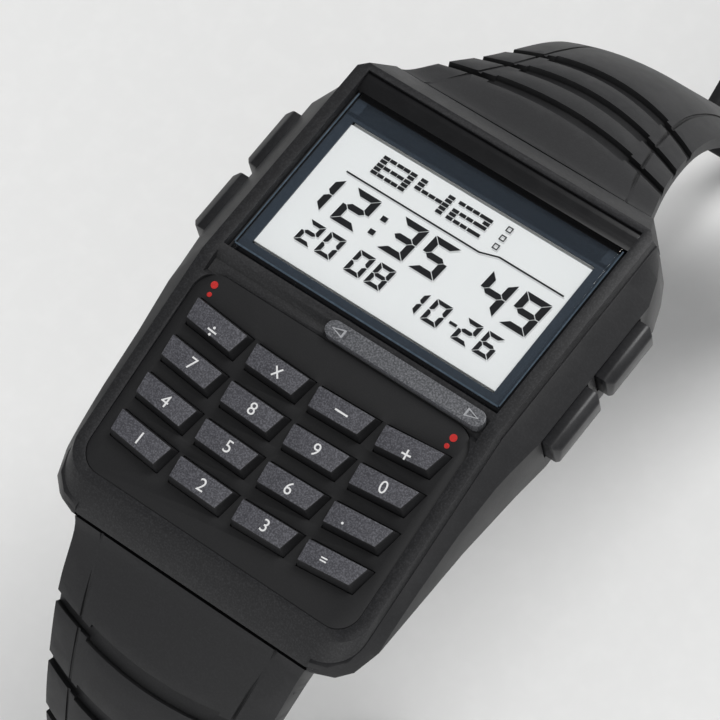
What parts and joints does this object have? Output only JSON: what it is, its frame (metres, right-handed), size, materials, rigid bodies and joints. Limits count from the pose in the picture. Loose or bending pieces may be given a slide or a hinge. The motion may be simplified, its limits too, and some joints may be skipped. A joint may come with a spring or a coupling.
{
  "type": "calculator watch",
  "caption": "Calculator wrist watch: flat digital display over a sloped keypad of small keys, side pushers, screwed back and a two-part strap with buckle and loop, stood open on its strap.",
  "frame": {"origin": "middle of the bounding box, on the surface that the open strap stands on", "axes": "+Z out of the display, +Y towards 12 o'clock, +X towards 3 o'clock"},
  "size_m": [0.0388, 0.1108, 0.0761],
  "materials": {
    "frame_resin": "fine grained black resin",
    "case_resin": "fine grained black resin",
    "plate_resin": "fine grained black resin",
    "key_plastic": "speckled dark grey plastic",
    "pusher_resin": "satin black plastic",
    "strap_resin": "matt black strap resin",
    "crystal_glass": "clear, polished",
    "mask_print": "slate blue print under the glass",
    "display_panel": "light grey liquid crystal panel",
    "light_plastic": "pale light guide",
    "seal_rubber": "black seal",
    "strip_rubber": "layered contact rubber",
    "sheet_rubber": "grey contact rubber",
    "holder_plastic": "moulded holder",
    "board_laminate": "green board",
    "chip_plastic": "black resin",
    "can_aluminium": "satin can",
    "cell_steel": "plated cell",
    "steel": "brushed stainless",
    "spring_steel": "spring wire",
    "contact_brass": "plated contact",
    "buckle_metal": "satin black coating"
  },
  "bodies": {
    "case": {"top_frame": "frame_resin", "badge_plate": "plate_resin", "case_body": "case_resin", "case_back": "steel", "case_back_seal": "seal_rubber", "case_back_screws": "steel", "crystal": "crystal_glass", "crystal_seal": "seal_rubber", "display_mask": "mask_print", "lcd_panel": "display_panel", "light_panel": "light_plastic", "contact_strips": "strip_rubber", "module_holder": "holder_plastic", "circuit_board": "board_laminate", "cell_tray": "holder_plastic", "battery": "cell_steel", "battery_ring": "contact_brass", "battery_clip": "contact_brass", "processor_chip": "chip_plastic", "quartz_can": "can_aluminium", "sounder_disc": "contact_brass", "sounder_contact": "contact_brass", "side_contacts": "contact_brass", "keypad_plate": "plate_resin", "spring_bar_12": "steel", "spring_bar_6": "steel", "key_sheet": "sheet_rubber", "key_board": "board_laminate", "pusher_spring_right_upper": "spring_steel", "pusher_spring_right_lower": "spring_steel", "pusher_spring_left_upper": "spring_steel", "pusher_spring_left_lower": "spring_steel"},
    "key_divide": {"key_divide": "key_plastic"},
    "key_multiply": {"key_multiply": "key_plastic"},
    "key_minus": {"key_minus": "key_plastic"},
    "key_plus": {"key_plus": "key_plastic"},
    "key_7": {"key_7": "key_plastic"},
    "key_8": {"key_8": "key_plastic"},
    "key_9": {"key_9": "key_plastic"},
    "key_0": {"key_0": "key_plastic"},
    "key_4": {"key_4": "key_plastic"},
    "key_5": {"key_5": "key_plastic"},
    "key_6": {"key_6": "key_plastic"},
    "key_point": {"key_point": "key_plastic"},
    "key_1": {"key_1": "key_plastic"},
    "key_2": {"key_2": "key_plastic"},
    "key_3": {"key_3": "key_plastic"},
    "key_equals": {"key_equals": "key_plastic"},
    "pusher_right_upper": {"pusher_right_upper": "pusher_resin"},
    "pusher_right_lower": {"pusher_right_lower": "pusher_resin"},
    "pusher_left_upper": {"pusher_left_upper": "pusher_resin"},
    "pusher_left_lower": {"pusher_left_lower": "pusher_resin"},
    "strap_12": {"strap_12": "strap_resin"},
    "strap_6": {"strap_6": "strap_resin"},
    "buckle": {"buckle_frame": "buckle_metal", "buckle_bar": "steel"},
    "prong": {"buckle_prong": "buckle_metal"},
    "loop": {"strap_loop": "strap_resin"}
  },
  "joints": [
    {"name": "key_divide_press", "type": "slide", "parent": "case", "child": "key_divide", "axis": [0, 0.2402, -0.9707], "range_m": [0, 0.0006], "stiffness_N_per_m": 800, "springref_m": -0.0005},
    {"name": "key_multiply_press", "type": "slide", "parent": "case", "child": "key_multiply", "axis": [0, 0.2402, -0.9707], "range_m": [0, 0.0006], "stiffness_N_per_m": 800, "springref_m": -0.0005},
    {"name": "key_minus_press", "type": "slide", "parent": "case", "child": "key_minus", "axis": [0, 0.2402, -0.9707], "range_m": [0, 0.0006], "stiffness_N_per_m": 800, "springref_m": -0.0005},
    {"name": "key_plus_press", "type": "slide", "parent": "case", "child": "key_plus", "axis": [0, 0.2402, -0.9707], "range_m": [0, 0.0006], "stiffness_N_per_m": 800, "springref_m": -0.0005},
    {"name": "key_7_press", "type": "slide", "parent": "case", "child": "key_7", "axis": [0, 0.2402, -0.9707], "range_m": [0, 0.0006], "stiffness_N_per_m": 800, "springref_m": -0.0005},
    {"name": "key_8_press", "type": "slide", "parent": "case", "child": "key_8", "axis": [0, 0.2402, -0.9707], "range_m": [0, 0.0006], "stiffness_N_per_m": 800, "springref_m": -0.0005},
    {"name": "key_9_press", "type": "slide", "parent": "case", "child": "key_9", "axis": [0, 0.2402, -0.9707], "range_m": [0, 0.0006], "stiffness_N_per_m": 800, "springref_m": -0.0005},
    {"name": "key_0_press", "type": "slide", "parent": "case", "child": "key_0", "axis": [0, 0.2402, -0.9707], "range_m": [0, 0.0006], "stiffness_N_per_m": 800, "springref_m": -0.0005},
    {"name": "key_4_press", "type": "slide", "parent": "case", "child": "key_4", "axis": [0, 0.2402, -0.9707], "range_m": [0, 0.0006], "stiffness_N_per_m": 800, "springref_m": -0.0005},
    {"name": "key_5_press", "type": "slide", "parent": "case", "child": "key_5", "axis": [0, 0.2402, -0.9707], "range_m": [0, 0.0006], "stiffness_N_per_m": 800, "springref_m": -0.0005},
    {"name": "key_6_press", "type": "slide", "parent": "case", "child": "key_6", "axis": [0, 0.2402, -0.9707], "range_m": [0, 0.0006], "stiffness_N_per_m": 800, "springref_m": -0.0005},
    {"name": "key_point_press", "type": "slide", "parent": "case", "child": "key_point", "axis": [0, 0.2402, -0.9707], "range_m": [0, 0.0006], "stiffness_N_per_m": 800, "springref_m": -0.0005},
    {"name": "key_1_press", "type": "slide", "parent": "case", "child": "key_1", "axis": [0, 0.2402, -0.9707], "range_m": [0, 0.0006], "stiffness_N_per_m": 800, "springref_m": -0.0005},
    {"name": "key_2_press", "type": "slide", "parent": "case", "child": "key_2", "axis": [0, 0.2402, -0.9707], "range_m": [0, 0.0006], "stiffness_N_per_m": 800, "springref_m": -0.0005},
    {"name": "key_3_press", "type": "slide", "parent": "case", "child": "key_3", "axis": [0, 0.2402, -0.9707], "range_m": [0, 0.0006], "stiffness_N_per_m": 800, "springref_m": -0.0005},
    {"name": "key_equals_press", "type": "slide", "parent": "case", "child": "key_equals", "axis": [0, 0.2402, -0.9707], "range_m": [0, 0.0006], "stiffness_N_per_m": 800, "springref_m": -0.0005},
    {"name": "pusher_right_upper_press", "type": "slide", "parent": "case", "child": "pusher_right_upper", "axis": [-1, 0, 0], "range_m": [0, 0.0006], "stiffness_N_per_m": 1200, "springref_m": -0.0005, "deforming": ["pusher_spring_right_upper"]},
    {"name": "pusher_right_lower_press", "type": "slide", "parent": "case", "child": "pusher_right_lower", "axis": [-1, 0, 0], "range_m": [0, 0.0006], "stiffness_N_per_m": 1200, "springref_m": -0.0005, "deforming": ["pusher_spring_right_lower"]},
    {"name": "pusher_left_upper_press", "type": "slide", "parent": "case", "child": "pusher_left_upper", "axis": [1, 0, 0], "range_m": [0, 0.0006], "stiffness_N_per_m": 1200, "springref_m": -0.0005, "deforming": ["pusher_spring_left_upper"]},
    {"name": "pusher_left_lower_press", "type": "slide", "parent": "case", "child": "pusher_left_lower", "axis": [1, 0, 0], "range_m": [0, 0.0006], "stiffness_N_per_m": 1200, "springref_m": -0.0005, "deforming": ["pusher_spring_left_lower"]},
    {"name": "strap_12_hinge", "type": "hinge", "parent": "case", "child": "strap_12", "pos_m": [0, 0.00814, 0.0703], "axis": [-1, 0, 0], "range_deg": [-3, 8]},
    {"name": "strap_6_hinge", "type": "hinge", "parent": "case", "child": "strap_6", "pos_m": [0, -0.03356, 0.067], "axis": [1, 0, 0], "range_deg": [-3, 8]},
    {"name": "buckle_hinge", "type": "hinge", "parent": "strap_12", "child": "buckle", "pos_m": [0, 0.04903, 0.01222], "axis": [-1, 0, 0], "range_deg": [-15, 15]},
    {"name": "prong_hinge", "type": "hinge", "parent": "buckle", "child": "prong", "pos_m": [0, 0.04903, 0.01222], "axis": [1, 0, 0], "range_deg": [0, 90]},
    {"name": "loop_slide", "type": "slide", "parent": "strap_12", "child": "loop", "axis": [0, -0.4147, 0.91], "range_m": [0, 0.02]}
  ]
}
